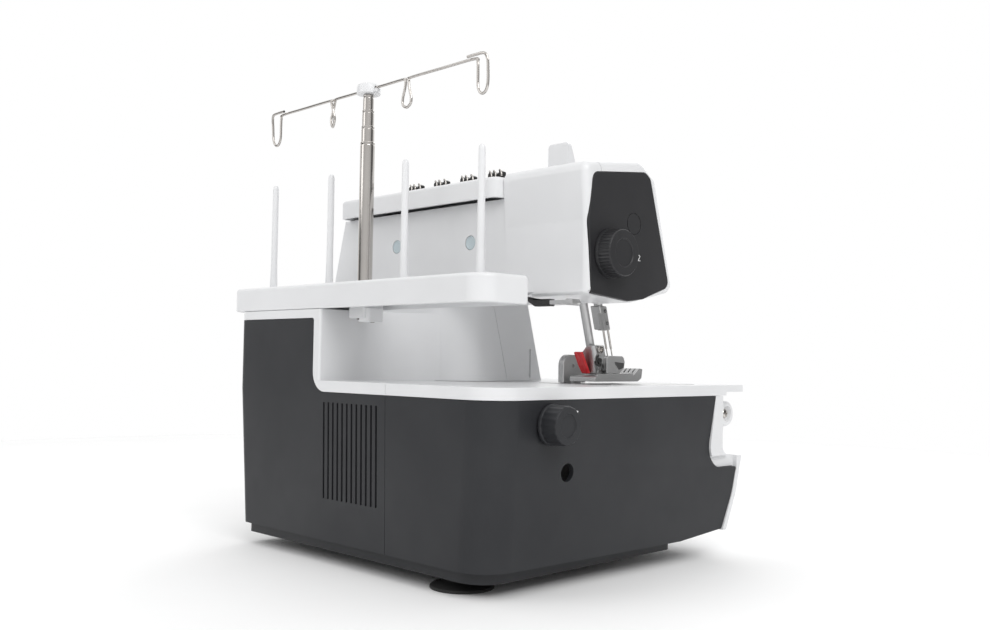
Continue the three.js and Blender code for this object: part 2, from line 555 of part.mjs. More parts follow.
const LOOPERS = [
  {
    name: "lower_looper", x: 62, z: 62, front: -213.5,
    arm: [[-4, 0], [4, 0], [3, 50], [14, 58, 3], [22, 59], [22, 61], [8, 64, 6], [-3, 56, 3]],
  },
  {
    name: "upper_looper", x: 104, z: 66, front: -224,
    arm: [[-4, 0], [4, 0], [3, 52, 4], [-8, 58, 3], [-20, 61], [-20, 59], [-8, 53, 3], [-3, 44, 4]],
  },
];

function addLoopers() {
  for (const { name, x, z, front, arm } of LOOPERS) {
    const hub = disc("y", x, z, 8, front, -203.3, 16);
    const lever = prism("y", arm.map(([a, b, r]) => [x + a, z + b, r]), front + 1.5, front + 7);
    place(name, cut(join(hub, lever), disc("y", x, z, 3.35, -230, -200, 12)), "steel");
  }
}

// ---------------------------------------------------------------- looper cover
function addLooperCover() {
  const knuckle = (x) => disc("x", HINGE.y, HINGE.z, 4.2, x, x + 12, 16);
  const bracket = prism("x", [[-271, 110], [-303, 110, 5], [-303, 125, 5], [-271, 125]], 22, 28);
  // The shelf stops short of the dark covers at both ends, so that it can tip down between them.
  const ends = [[-1, 3.9], [311.6, 320]].map(([x0, x1]) => box(x0, x1, -294.5, -240, 70, 84));
  const shell = cut(prism("x", COVER_SECTION, 0, WIDTH), prism("x", COVER_HOLLOW, 6.5, 309), ...ends);
  const rodBore = disc("x", HINGE.y, HINGE.z, HINGE.radius + GAP, 4, WIDTH - 4, 12);
  const knobBore = disc("x", -299, 117.5, 3.4, 20, 30, 12);
  place("looper_cover", cut(join(shell, knuckle(60), knuckle(246), bracket), rodBore, knobBore), "white");
  place("hinge_rod", disc("x", HINGE.y, HINGE.z, HINGE.radius, 8, 308, 12), "steel");
  const knob = join(disc("x", -299, 117.5, 11.2, 12, 20.6, 20), disc("x", -299, 117.5, 3, 20, 32, 12));
  place("latch_knob", knob, "white");
}

// ---------------------------------------------------------------- dials, inlet and switch
function addControls() {
  const dial = turned([[0, -9], [3.6, -9], [3.6, 0.5], [13, 0.5], [13, 7], [11.5, 9], [0, 9], [0, -9]], 20);
  DIALS.forEach((at, i) => place("tension_dial_" + (i + 1), onFront(dial, at), "graphite"));

  const outLeft = (profile, at, x) => turned(profile, 24).rotate([0, -90, 0]).translate([x, at.y, at.z]);
  const stitch = [
    [0, -10], [5, -10], [5, 0.4], [14.6, 0.4], [14.6, 2.5], [13.8, 3.5], [13.4, 15], [12.4, 16], [0, 16], [0, -10],
  ];
  place("stitch_dial", outLeft(stitch, STITCH_DIAL, 0), "charcoal");
  const pressure = [
    [0, -8], [4, -8], [4, 0.3], [18.6, 0.3], [18.6, 2], [17.9, 3], [17.6, 12.7], [16.6, 13.7], [0, 13.7], [0, -8],
  ];
  place("pressure_dial", outLeft(pressure, PRESSURE_DIAL, HEAD.x0 - GAP), "graphite");

  const sockets = [box(308, 325, -60, -40, 40, 58), box(305.5, 325, -58, -42, 69, 91)];
  const module = cut(box(303, 318.9, -66, -34, 35, 96), ...sockets);
  const contacts = [-55, -47].map((y) => box(307, 312, y, y + 2, 47, 51));
  place("power_inlet", join(module, ...contacts), "black");
  const rocker = [[311, 74], [316.5, 71.5], [318.6, 80], [316.5, 88.5], [311, 86]];
  place("power_switch", prism("y", rocker, -57.5, -42.5), "black");
}

addBase();
addDarkCovers();
addCasings();
addSpoolStand();
addThreadClips();
addStitchArea();
addDrive();
addFrame();
addLoopers();
addLooperCover();
addControls();
machine.position.set(-ORIGIN.x, -ORIGIN.y, 0);

export default machine;
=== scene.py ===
"""Looks for the overlock machine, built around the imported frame. Lengths are in millimetres until
they reach Blender; X and Y are measured from the left end and the back of the casing, as in the design."""

import math

import bmesh
import bpy
from mathutils import Matrix, Vector


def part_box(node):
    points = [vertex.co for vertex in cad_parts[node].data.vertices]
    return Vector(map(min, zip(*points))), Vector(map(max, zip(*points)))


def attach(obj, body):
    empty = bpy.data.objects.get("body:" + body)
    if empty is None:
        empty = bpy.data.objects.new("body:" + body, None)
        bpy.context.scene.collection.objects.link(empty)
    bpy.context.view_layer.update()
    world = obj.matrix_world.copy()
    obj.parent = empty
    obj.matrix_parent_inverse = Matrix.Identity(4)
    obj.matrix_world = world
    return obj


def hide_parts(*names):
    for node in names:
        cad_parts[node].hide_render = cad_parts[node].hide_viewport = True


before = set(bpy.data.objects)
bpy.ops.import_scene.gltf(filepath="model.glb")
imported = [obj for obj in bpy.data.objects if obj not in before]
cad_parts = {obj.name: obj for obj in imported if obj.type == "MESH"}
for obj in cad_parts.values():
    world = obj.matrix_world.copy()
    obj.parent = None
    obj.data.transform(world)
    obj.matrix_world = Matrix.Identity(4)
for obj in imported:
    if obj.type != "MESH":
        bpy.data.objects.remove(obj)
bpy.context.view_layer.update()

MM = 0.001
DATUM = Vector((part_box("left_cover")[0].x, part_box("left_cover")[1].y, 0.0))

# ---------------------------------------------------------------- driving dimensions
WALL = 2.6
WIDTH = 318.0
SKIRT_Z = 18.25
BAND_Z = 133.8
BED_Z = 142.8
SHOULDER_Z = 192.3
TRAY_Z = 199.9
SEAM_X = 112.3
SHOULDER_X = 196.0
COLUMN_X = 142.0
COLUMN_Y = -98.5
LEAN = 0.279
GAP = 0.35
FIRST_THREAD_X = 107
PITCH = 33.3
DIAL_SEATS = [(FIRST_THREAD_X + PITCH * i, -192.6, 266) for i in range(4)]
POLE_X = 171
POLE_Y = -24
WIRE_Z = 375.5
HINGE_Y = -272
HINGE_Z = 24.5
KNOB_Y = -299
KNOB_Z = 117.5
STITCH_Y = -57
STITCH_Z = 117
PRESSURE_Y = -124.1
PRESSURE_Z = 241.5
BARS_X = 52
PRESSER_AXIS = (-154, 197)
NEEDLE_AXIS = (-172.5, 197)
NEEDLE_OFFSETS = (-2.4, 2.4)
PLUG_Y = -98.6
PLUGS = ((223.2, 259.6), (128.8, 256.4))
CLIP_Z = 305.8
SUCTION_FEET = {"back_left": (60, -31), "back_right": (258, -66), "front_left": (84, -190),
                "front_right": (234, -190)}


def spot(x, y, z):
    """A point of the design, in metres in the shared frame."""
    return DATUM + Vector((x, y, z)) * MM


# ---------------------------------------------------------------- outlines
def path(corners, steps=8):
    """Corners (a, b, radius) as points, with an arc at each corner that has a radius."""
    points = []
    for i, corner in enumerate(corners):
        here, radius = Vector(corner[:2]), corner[2] if len(corner) > 2 else 0
        if radius <= 0:
            points.append(here)
            continue
        before = (Vector(corners[i - 1][:2]) - here).normalized()
        after = (Vector(corners[(i + 1) % len(corners)][:2]) - here).normalized()
        half = math.acos(max(-1.0, min(1.0, before.dot(after)))) / 2
        centre = here + (before + after).normalized() * (radius / math.sin(half))
        start = here + before * (radius / math.tan(half)) - centre
        side = 1 if before.x * after.y - before.y * after.x < 0 else -1
        for k in range(steps + 1):
            angle = side * (math.pi - 2 * half) * k / steps
            points.append(centre + Matrix.Rotation(angle, 2) @ start)
    return points


def area(points):
    """The signed area of an outline, positive when it runs anticlockwise."""
    return sum(p.x * q.y - q.x * p.y for p, q in zip(points, points[1:] + points[:1])) / 2


def inset(points, by):
    """The outline moved inwards by a distance, point for point."""
    turn = 1 if area(points) > 0 else -1
    moved = []
    for i, here in enumerate(points):
        first = (here - points[i - 1]).normalized()
        second = (points[(i + 1) % len(points)] - here).normalized()
        normals = [Vector((-d.y, d.x)) * turn for d in (first, second)]
        middle = normals[0] + normals[1]
        moved.append(here + middle * (2 * by / max(middle.length_squared, 0.6)))
    return moved


def circle(a, b, radius, sides=48):
    """A round outline about a point of the plane."""
    return [Vector((a + radius * math.cos(t), b + radius * math.sin(t)))
            for t in (2 * math.pi * i / sides for i in range(sides))]


AXES = {"x": (1, 2, 0), "y": (0, 2, 1), "z": (0, 1, 2)}


def loft(rings, axis="z"):
    """A closed object through rings [(height, points)] of the same count, along an axis."""
    bm = bmesh.new()
    a_at, b_at, h_at = AXES[axis]
    levels = []
    for height, points in rings:
        level = []
        for p in points:
            co = [0.0, 0.0, 0.0]
            co[a_at], co[b_at], co[h_at] = p.x, p.y, height
            level.append(bm.verts.new(spot(*co)))
        levels.append(level)
    count = len(levels[0])
    for low, high in zip(levels, levels[1:]):
        for i in range(count):
            j = (i + 1) % count
            bm.faces.new((low[i], low[j], high[j], high[i]))
    bm.faces.new(levels[0])
    bm.faces.new(levels[-1])
    return solid(bm)


def solid(bm):
    """The mesh as an object of the scene, with its faces turned outwards."""
    bmesh.ops.recalc_face_normals(bm, faces=bm.faces)
    mesh = bpy.data.meshes.new("solid")
    bm.to_mesh(mesh)
    bm.free()
    made = bpy.data.objects.new("solid", mesh)
    bpy.context.scene.collection.objects.link(made)
    return made


def prism(axis, outline, low, high, soft=(0, 0), steps=8):
    """An outline pushed along an axis, with rounded rims of the given radii at its two ends."""
    corners = outline if isinstance(outline[0], Vector) else path(outline, steps)
    rings = []
    for end, radius, sense in ((low, soft[0], 1), (high, soft[1], -1)):
        turns = 5 if radius else 0
        ring = [(radius * (1 - math.cos(k * math.pi / 2 / turns)),
                 radius * (1 - math.sin(k * math.pi / 2 / turns)))
                for k in range(turns + 1)] if turns else [(0, 0)]
        ring = [(end + sense * rise, inset(corners, back)) for rise, back in ring]
        rings += ring if sense > 0 else ring[::-1]
    return loft(rings, axis)


def box(x0, x1, y0, y1, z0, z1):
    """A block between limits, used as a cutter or to join blocks."""
    return prism("z", [(x0, y0), (x1, y0), (x1, y1), (x0, y1)], z0, z1)


def turned(profile, at, axis="z", sides=64, sense=1):
    """A turned piece: (radius, height) pairs along an axis from a point, closed on the axis."""
    rings = [(at["xyz".index(axis)] + sense * h, r) for r, h in profile]
    a_at, b_at, _ = AXES[axis]
    return loft([(h, circle(at[a_at], at[b_at], max(r, 0.01), sides)) for h, r in rings], axis)


def carve(base, joined=(), kept=(), removed=()):
    """Joins, intersects and cuts closed objects. The tools go away."""
    tools = [("UNION", t) for t in joined] + [("INTERSECT", t) for t in kept]
    tools += [("DIFFERENCE", t) for t in removed]
    for operation, tool in tools:
        step = base.modifiers.new(operation, "BOOLEAN")
        step.operation, step.solver, step.object = operation, "MANIFOLD", tool
    mesh = bpy.data.meshes.new_from_object(base.evaluated_get(bpy.context.evaluated_depsgraph_get()))
    made = bpy.data.objects.new("carved", mesh)
    bpy.context.scene.collection.objects.link(made)
    for used in {base, *[t for _, t in tools]}:
        bpy.data.objects.remove(used)
    return made


def onto_front(obj, at):
    """Moves a piece made about the X axis at the design's origin onto the leaning front, facing out."""
    turn = Vector((-1, 0, 0)).rotation_difference(Vector((0, -1, LEAN)).normalized()).to_matrix().to_4x4()
    obj.data.transform(Matrix.Translation(spot(*at)) @ turn @ Matrix.Translation(-DATUM))
    return obj


def copy(obj):
    """A twin of a closed object, for one that is used more than once."""
    twin = obj.copy()
    twin.data = obj.data.copy()
    bpy.context.scene.collection.objects.link(twin)
    return twin


# ---------------------------------------------------------------- finishing a piece
def tidy(obj, edge, angle=32, segments=3):
    """Merges flat faces, rounds the sharp edges by a small radius and shades smoothly."""
    bm = bmesh.new()
    bm.from_mesh(obj.data)
    bmesh.ops.remove_doubles(bm, verts=bm.verts, dist=2e-6)
    bmesh.ops.dissolve_limit(bm, angle_limit=math.radians(0.4), verts=bm.verts, edges=bm.edges)
    bm.to_mesh(obj.data)
    bm.free()
    if edge:
        bevel = obj.modifiers.new("edges", "BEVEL")
        bevel.width, bevel.segments = edge * MM, segments
        bevel.limit_method, bevel.angle_limit = "ANGLE", math.radians(angle)
        bevel.use_clamp_overlap = True
    obj.data.shade_smooth()
    obj.data.set_sharp_from_angle(angle=math.radians(40))
    normals = obj.modifiers.new("normals", "WEIGHTED_NORMAL")
    normals.keep_sharp = True
    return obj


def piece(obj, name, body, material, slot, nodes=(), edge=0.4, **more):
    obj.name = obj.data.name = name
    tidy(obj, edge, **more)
    obj.data.materials.clear()
    obj.data.materials.append(material)
    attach(obj, body)
    if nodes:
        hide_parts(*nodes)
    return obj


def keep(node, material, edge=0.35, angle=32):
    """A CAD node that stays, with softened edges and its finish."""
    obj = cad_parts[node]
    weld = obj.modifiers.new("weld", "WELD")
    weld.merge_threshold = 2e-6
    flat = obj.modifiers.new("flat", "DECIMATE")
    flat.decimate_type, flat.angle_limit = "DISSOLVE", math.radians(0.4)
    if edge:
        bevel = obj.modifiers.new("edges", "BEVEL")
        bevel.width, bevel.segments = edge * MM, 2
        bevel.limit_method, bevel.angle_limit = "ANGLE", math.radians(angle)
    obj.data.shade_smooth()
    obj.data.set_sharp_from_angle(angle=math.radians(40))
    normals = obj.modifiers.new("normals", "WEIGHTED_NORMAL")
    normals.keep_sharp = True
    obj.data.materials.clear()
    obj.data.materials.append(material)
    return obj


# ---------------------------------------------------------------- finishes
def finish(name, low, high, rough, metallic=0.0, grain=900, bump=0.02, coat=0.0, streak=None, sheen=0.5):
    """A procedural finish: colour wanders slightly between two tones, roughness too, with a fine grain."""
    made = bpy.data.materials.new(name)
    made.use_nodes = True
    nodes, links = made.node_tree.nodes, made.node_tree.links
    surface = nodes["Principled BSDF"]
    where = nodes.new("ShaderNodeTexCoord")
    stretch = nodes.new("ShaderNodeMapping")
    stretch.inputs["Scale"].default_value = streak or (1, 1, 1)
    links.new(where.outputs["Object"], stretch.inputs["Vector"])

    def noise(scale, detail):
        made_noise = nodes.new("ShaderNodeTexNoise")
        made_noise.inputs["Scale"].default_value = scale
        made_noise.inputs["Detail"].default_value = detail
        links.new(stretch.outputs["Vector"], made_noise.inputs["Vector"])
        return made_noise.outputs["Fac"]

    tone = nodes.new("ShaderNodeValToRGB")
    tone.color_ramp.elements[0].position, tone.color_ramp.elements[1].position = 0.35, 0.65
    tone.color_ramp.elements[0].color = (*low, 1)
    tone.color_ramp.elements[1].color = (*high, 1)
    links.new(noise(14, 3), tone.inputs["Fac"])
    links.new(tone.outputs["Color"], surface.inputs["Base Color"])
    spread = nodes.new("ShaderNodeMapRange")
    spread.inputs["To Min"].default_value, spread.inputs["To Max"].default_value = rough
    links.new(noise(60, 2), spread.inputs["Value"])
    links.new(spread.outputs["Result"], surface.inputs["Roughness"])
    relief = nodes.new("ShaderNodeBump")
    relief.inputs["Strength"].default_value = bump
    relief.inputs["Distance"].default_value = 0.0002
    links.new(noise(grain, 2), relief.inputs["Height"])
    links.new(relief.outputs["Normal"], surface.inputs["Normal"])
    surface.inputs["Metallic"].default_value = metallic
    surface.inputs["Specular IOR Level"].default_value = sheen
    surface.inputs["Coat Weight"].default_value = coat
    surface.inputs["Coat Roughness"].default_value = 0.12
    return made


def grey(value):
    return (value, value, value)


WHITE = finish("white plastic", (0.735, 0.74, 0.75), (0.775, 0.78, 0.79), (0.26, 0.36), bump=0.03, coat=0.1)
CHARCOAL = finish("charcoal plastic", (0.021, 0.022, 0.025), (0.027, 0.028, 0.031), (0.38, 0.50),
                  grain=1600, bump=0.25, sheen=0.3)
GRAPHITE = finish("graphite plastic", (0.022, 0.022, 0.024), (0.028, 0.028, 0.030), (0.32, 0.44),
                  grain=1600, bump=0.15, sheen=0.35)
BLACK = finish("black plastic", grey(0.012), grey(0.020), (0.28, 0.42), bump=0.1)
BLUE_GREY = finish("blue grey plastic", (0.47, 0.55, 0.58), (0.53, 0.61, 0.64), (0.35, 0.45), bump=0.05)
RED = finish("red plastic", (0.50, 0.012, 0.018), (0.62, 0.020, 0.026), (0.22, 0.32), bump=0.03, coat=0.2)
RUBBER = finish("rubber", grey(0.011), grey(0.020), (0.62, 0.82), grain=1200, bump=0.3)
STEEL = finish("steel", grey(0.50), grey(0.60), (0.34, 0.48), metallic=1.0, streak=(1, 1, 0.15), bump=0.05)
CHROME = finish("chrome", (0.50, 0.475, 0.45), (0.58, 0.555, 0.53), (0.10, 0.16), metallic=1.0, bump=0.01)
DARK_STEEL = finish("blued steel", grey(0.10), grey(0.16), (0.28, 0.40), metallic=1.0, bump=0.05)
CAST = finish("cast metal", grey(0.36), grey(0.46), (0.42, 0.58), metallic=1.0, grain=700, bump=0.4)
PAINT = finish("printed white", grey(0.70), grey(0.80), (0.40, 0.50))


# ---------------------------------------------------------------- outlines of the casing, as in the design
SIDE_FRONT = [(-262, BAND_Z), (-250.8, 73.8, 18), (-294.2, 73.5, 1.5), (-288, 52.3, 60), (-273.3, 22.9, 2),
              (-216, SKIRT_Z)]
COVER_SECTION = [
    (-262.4, 133.7), (-251.2, 74.2, 18), (-294.6, 73.9, 1.5), (-288.4, 52.3, 60), (-273.9, 23),
    (-273.9, 21.6), (-278.4, 21.4, 1), (-293.6, 52, 60), (-299.2, 72.4), (-302.6, 82.4, 1.2),
    (-272.6, 84.8, 9), (-273.3, 133.7)]
COVER_HOLLOW = [
    (-230, 140), (-230, 15), (-275.6, 15), (-275.6, 23), (-291, 52, 60), (-296.6, 72.8), (-299, 80),
    (-270, 82.4, 9), (-270.7, 140)]
HEAD_PROFILE = [
    (-98.5, 210.2, 3), (-97.8, 264.9, 40), (-94.5, 308, 8), (-162.4, 317.5, 10), (-181.5, 306, 10),
    (-205.5, 222, 6), (-200.5, 216.5, 6), (-153.3, 206.3, 30)]
ARM_PROFILE = [
    (COLUMN_Y, 209.9), (COLUMN_Y, 288.5), (-168, 288.5), (-168, 305.5), (-181.5, 304, 6), (-204.7, 224, 6),
    (-199, 217, 6), (-184, 209.9)]
FACE_PROFILE = [
    (-102, 210.4, 2), (-98.6, 264.9, 40), (-103.1, 301.3, 8), (-167.1, 309.5, 8), (-174.3, 305.9, 8),
    (-200.2, 221, 7), (-165.5, 208.8, 8), (-145.7, 206.4, 8)]
RIGHT_END = [(-10, 130), (WIDTH, 130), (WIDTH, 205, 30), (313.9, 235, 60), (298.8, 292, 12), (293, 340),
             (-10, 340)]
BODY_PLAN = [(0, 0, 27), (0, -300), (WIDTH, -300), (WIDTH, 0, 10)]
SKIRT_PLAN = [(9.7, -2.5, 27), (0.4, -300), (WIDTH - 0.4, -300), (WIDTH - 7, -2.5, 10)]
TALL_BACK = [(-10, 0), (340, 0), (340, SHOULDER_Z), (204.9, SHOULDER_Z, 2), (204.9, BAND_Z, 16),
             (-10, BAND_Z)]
FLOOR_PLAN = [(SEAM_X + 0.15, 0), (SEAM_X + 0.15, COLUMN_Y), (WIDTH, COLUMN_Y), (WIDTH, 0, 10)]
COLUMN_PLAN = [(COLUMN_X, -112, 30), (COLUMN_X, -204), (WIDTH, -204), (WIDTH, COLUMN_Y),
               (169, COLUMN_Y, 30)]
RECESS_PLAN = [(COLUMN_X, -112, 48), (COLUMN_X, -204), (WIDTH, -204), (WIDTH, 0, 10), (SHOULDER_X, 0, 2),
               (SHOULDER_X, -85, 48)]


def body_core(by):
    """The body between base and shoulder, moved in by a distance."""
    levels = [(SKIRT_Z - 4, SKIRT_PLAN), (SKIRT_Z, SKIRT_PLAN), (BAND_Z, BODY_PLAN),
              (SHOULDER_Z + 4, BODY_PLAN)]
    return loft([(z, inset(path(plan), by)) for z, plan in levels])


def behind(y, z):
    """All that lies behind the leaning plane through a point of the side view."""
    def at(height):
        return y + LEAN * (height - z)
    return prism("x", [(at(0), 0), (20, 0), (20, 500), (at(500), 500)], -20, 400)


def upper_form(by, low):
    """The outer form of the white casings, or the hollow in them when moved in by the wall."""
    soft = (0 if by else 5.5, 0)
    head = prism("x", inset(path(HEAD_PROFILE), by), 7 if by else 4, 88 - by, soft)
    arm = prism("x", inset(path(ARM_PROFILE), by), 60, WIDTH - by)
    column = prism("z", inset(path(COLUMN_PLAN), by), low, 218)
    recess = prism("z", inset(path(RECESS_PLAN), by), low, TRAY_Z - 0.3 - by)
    ground = prism("z", inset(path(FLOOR_PLAN), by), low, BED_Z - by)
    legs = carve(column, joined=[recess, ground], kept=[behind(-183.5 + by, 205)])
    return carve(head, joined=[arm, legs], kept=[prism("y", inset(path(RIGHT_END), by), -320, 20)])


# ---------------------------------------------------------------- dark covers
def dark_skin(grow):
    """The shell of the two dark covers, or the room that it takes when grown."""
    profile = SIDE_FRONT + [(10, SKIRT_Z), (10, SHOULDER_Z), (COLUMN_Y + 2, SHOULDER_Z, 2),
                            (COLUMN_Y + 2, BAND_Z, 16)]
    sides = prism("x", inset(path(profile), -grow), -10, 340)
    back = prism("y", inset(path(TALL_BACK), -grow), -320, 10)
    return carve(body_core(-grow), kept=[sides, back], removed=[body_core(WALL + grow)])


skin = dark_skin(0)
slots = [box(121.8 + i * 6, 123.9 + i * 6, -12, 5, z0, z1)
         for i in range(12) for z0, z1 in ((51, 75), (77, 100), (102, 126))]
slots += [box(121.8 + i * 6, 123.9 + i * 6, -2.6, 5, 51.4, 125.6) for i in range(12)]
shaft_hole = prism("x", circle(-165, 85, 9), 300, 330)
right = carve(copy(skin), kept=[box(SEAM_X + 0.2, 340, -320, 10, 0, 200)],
              removed=[box(300, 330, -66.3, -33.7, 34.7, 96.3), shaft_hole, *slots])
piece(right, "right_cover_skin", "machine", CHARCOAL, "charcoal_plastic", ["right_cover"], edge=0.45)
left = carve(skin, kept=[box(-10, SEAM_X - 0.2, -320, 10, 0, 200)])
left = carve(left, joined=[prism("x", circle(STITCH_Y, STITCH_Z, 13), 1.4, 5.5)],
             removed=[prism("x", circle(STITCH_Y, STITCH_Z, 5.4), -5, 12),
                      prism("x", circle(-77.6, 82.5, 6.6), -5, 12)])
piece(left, "left_cover_skin", "machine", CHARCOAL, "charcoal_plastic", ["left_cover"], edge=0.45)

# ---------------------------------------------------------------- white casings
low = BAND_Z + GAP
over_bed = box(-10, 340, -330, COLUMN_Y, 120, BED_Z + GAP)
shell = carve(upper_form(0, low), removed=[upper_form(WALL, low - 6), over_bed])
seam_y, seam_z = -141.5, 202.0
face_room = prism("x", inset(path(FACE_PROFILE), 0.5), -5, 7.3)
dark_room = dark_skin(0.3)
plug_rooms = [turned([(7.2, -11), (7.2, -1.4), (6.0, -1.4), (6.0, 8)], (x, PLUG_Y, z), "y", sides=48)
              for x, z in PLUGS]
catch_slot = prism("y", [(58, 211.5), (66, 211.5, 0.8), (66, 213.3, 0.8), (58, 213.3)], -101, -90)
rear = carve(copy(shell), kept=[behind(seam_y + 0.4, seam_z)],
             removed=[copy(face_room), copy(dark_room), *plug_rooms, catch_slot])
piece(rear, "rear_casing_shell", "machine", WHITE, "white_plastic", ["rear_casing"], edge=1.1, angle=38)


def lean_room(x0, x1, y0, y1, z0, z1):
    """A cut that leans back with the front, its Y limits measured from the needle and presser bars."""
    corners = ((y0, z0), (y1, z0), (y1, z1), (y0, z1))
    return prism("x", [(-164 + y + LEAN * (z - 206), z) for y, z in corners], x0, x1)


front_cutter = carve(box(-20, 400, -500, 20, 0, 500), removed=[behind(seam_y, seam_z)])
dial_holes = [onto_front(prism("x", circle(0, 0, 4), -12, 12), seat) for seat in DIAL_SEATS]
bars_room = lean_room(40, 64, -20, 18, 196, 224)
column_slit = box(141, 143.6, -187, -184.4, 146, 171)
front = carve(shell, kept=[front_cutter], removed=[face_room, *dial_holes, bars_room, column_slit])
piece(front, "front_casing_shell", "machine", WHITE, "white_plastic", ["front_casing"], edge=1.1, angle=38)

bed_plan = [(0, 0, 27), (0, -278.3), (WIDTH, -278.3), (WIDTH, 0, 10)]
lip_plan = [(0, -270), (0, -307.6, 5), (WIDTH, -307.6, 5), (WIDTH, -270)]
column_hole = [(150, -192), (300, -192), (300, -104), (180, -104), (164, -116), (153, -132), (150, -146)]
plate_hole = [(19.7, -147.7, 3), (19.7, -262.3, 3), (98.3, -262.3, 3), (98.3, -147.7, 3)]
bed = carve(prism("z", bed_plan, low, BED_Z), joined=[prism("z", lip_plan, 137, BED_Z)],
            removed=[prism("z", inset(path(bed_plan), WALL), 120, BED_Z - WALL),
                     box(SEAM_X - 0.2, 340, COLUMN_Y - 0.4, 10, 120, 150),
                     prism("z", column_hole, 130, 150), prism("z", plate_hole, 130, 150), dark_room])
piece(bed, "bed_casing_shell", "machine", WHITE, "white_plastic", ["bed_casing"], edge=1.0, angle=38)

ledge_plan = path([(88.4, -86.5, 8), (88.4, -167.7), (294, -167.7, 8), (294, -86.5, 8)])
ledge = carve(prism("z", ledge_plan, 288.8, 305.5, (0.8, 3.0)),
              removed=[prism("z", inset(ledge_plan, WALL), 280, 302.9)])
piece(ledge, "top_cover_shell", "machine", WHITE, "white_plastic", ["top_cover"], edge=0.4)

face = prism("x", inset(path(FACE_PROFILE), 0.9), 3.7, 7, (0.6, 0))
ring_groove = carve(prism("x", circle(-153, 267, 8.6), 2.0, 4.3),
                    removed=[prism("x", circle(-153, 267, 8.0), 1.0, 5)])
face = carve(face, removed=[ring_groove, prism("x", circle(PRESSURE_Y, PRESSURE_Z, 4.4), 0, 10)])
piece(face, "face_cover_plate", "machine", GRAPHITE, "graphite_plastic", ["face_cover"], edge=0.25)

fin = prism("x", [(-143, 300), (-143, 338, 1), (-145.5, 338, 1), (-160, 300)], 62.5, 84.4)
fin = carve(fin, kept=[prism("y", [(62.5, 290), (84.4, 290), (84.4, 338, 4), (62.5, 338, 4)], -170, -130)],
            removed=[prism("x", inset(path(HEAD_PROFILE), -GAP), 0, 200)])
piece(fin, "take_up_cover_fin", "machine", WHITE, "white_plastic", ["take_up_cover"], edge=1.0)

# ---------------------------------------------------------------- spool stand
tray_plan = path([(12.3, 0, 17), (12.3, -48, 6), (328.3, -48, 6), (328.3, 0, 6)])
pins = [POLE_X + offset for offset in (-132, -48, 48, 132)]
tray = carve(prism("z", tray_plan, TRAY_Z, 220.1, (1.4, 2.6)),
             removed=[prism("z", inset(tray_plan, WALL), 190, 217.5),
                      prism("z", circle(POLE_X, POLE_Y, 6.3), 180, 230),
                      *[prism("z", circle(x, POLE_Y, 3.7), 200, 230) for x in pins]])
piece(tray, "spool_tray_shell", "machine", WHITE, "white_plastic", ["spool_tray"], edge=0.3)
for i, x in enumerate(pins):
    spike = turned([(3.2, 209), (3.3, 209.4), (3.3, 220.4), (3.9, 220.6), (3.9, 221.6), (3.3, 222.4),
                    (2.75, 240), (2.6, 309), (2.3, 311.4), (1.5, 312.7), (0.4, 313)], (x, POLE_Y, 0),
                   sides=32)
    piece(spike, f"spool_pin_{i + 1}_rod", "machine", WHITE, "white_plastic", [f"spool_pin_{i + 1}"],
          edge=0)


# ---------------------------------------------------------------- dials with ribbed grips
def ribbed(node_at, base, grip, face, ribs, length, axis_sense=-1, dish=0.8):
    """A dial on the X axis: a collar, a ribbed grip that tapers to its face, and a shallow dish in it."""
    x, y, z = node_at
    count = ribs * 6

    def ring(height, radius, depth):
        points = []
        for i in range(count):
            angle = 2 * math.pi * i / count
            swell = radius - depth * (0.5 - 0.5 * math.cos(angle * ribs)) ** 0.6
            points.append(Vector((y + swell * math.cos(angle), z + swell * math.sin(angle))))
        return (x + axis_sense * height, points)

    groove = 0.55
    return loft([ring(0, base, 0), ring(1.6, base, 0), ring(2.2, base - 0.5, 0), ring(2.3, grip, 0),
                 ring(3.0, grip, groove), ring(length - 1.6, face + 0.3, groove),
                 ring(length - 0.7, face, groove * 0.4), ring(length, face - 0.8, 0),
                 ring(length, face * 0.62, 0), ring(length - dish, face * 0.58, 0),
                 ring(length - dish, face * 0.2, 0), ring(length - dish, 0.02, 0)], "x")


def stem(x0, x1, y, z, radius):
    """A dial's shaft on the X axis."""
    return prism("x", circle(y, z, radius, 24), x0, x1)


stitch = carve(ribbed((-0.4, STITCH_Y, STITCH_Z), 14.6, 14.0, 13.4, 18, 15.6),
               joined=[stem(-1, 10, STITCH_Y, STITCH_Z, 5)])
piece(stitch, "stitch_dial_grip", "stitch_dial", CHARCOAL, "charcoal_plastic", ["stitch_dial"], edge=0.12,
      angle=40)
pressure = carve(ribbed((3.4, PRESSURE_Y, PRESSURE_Z), 18.6, 18.1, 17.6, 44, 13.4),
                 joined=[stem(2, 11.7, PRESSURE_Y, PRESSURE_Z, 4)])
piece(pressure, "pressure_dial_grip", "pressure_dial", GRAPHITE, "graphite_plastic", ["pressure_dial"],
      edge=0.12, angle=40)


def strokes(name, body, lines, x, width=0.55, thick=0.12):
    """Thin printed strokes, each a short bar between two points of a plane of constant X."""
    whole = None
    for (y0, z0), (y1, z1) in lines:
        along = Vector((y1 - y0, z1 - z0)).normalized()
        side = Vector((-along.y, along.x)) * width / 2
        a, b = Vector((y0, z0)) - along * width / 2, Vector((y1, z1)) + along * width / 2
        bar = prism("x", [tuple(a + side), tuple(b + side), tuple(b - side), tuple(a - side)], x - thick,
                    x + thick)
        whole = carve(whole, joined=[bar]) if whole else bar
    piece(whole, name, body, PAINT, "white_plastic", edge=0)


